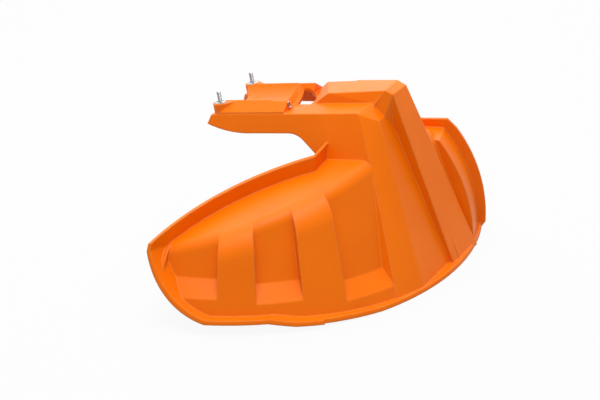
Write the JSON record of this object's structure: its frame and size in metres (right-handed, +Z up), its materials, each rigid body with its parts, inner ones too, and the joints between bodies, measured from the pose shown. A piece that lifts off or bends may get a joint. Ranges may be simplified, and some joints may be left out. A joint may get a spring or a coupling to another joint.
{
  "type": "trimmer blade guard",
  "caption": "Brush cutter blade guard: thin moulded skirt with a ribbed side wing, a tall ridged spine and an overhanging troughed arm that bolts under the gear head by upright studs.",
  "frame": {"origin": "midway between the two studs, on the tops of their washers", "axes": "+Z up along the tool's spindle, +X along the arm towards the operator, +Y across the arm; the rim of the skirt is level"},
  "size_m": [0.2825, 0.3712, 0.191],
  "materials": {
    "orange_plastic": "fine-grained moulded plastic with a soft sheen",
    "zinc_steel": "zinc plated"
  },
  "bodies": {
    "root": {"guard_shell": "orange_plastic", "mounting_screws": "zinc_steel", "retaining_washers": "zinc_steel"}
  },
  "joints": []
}
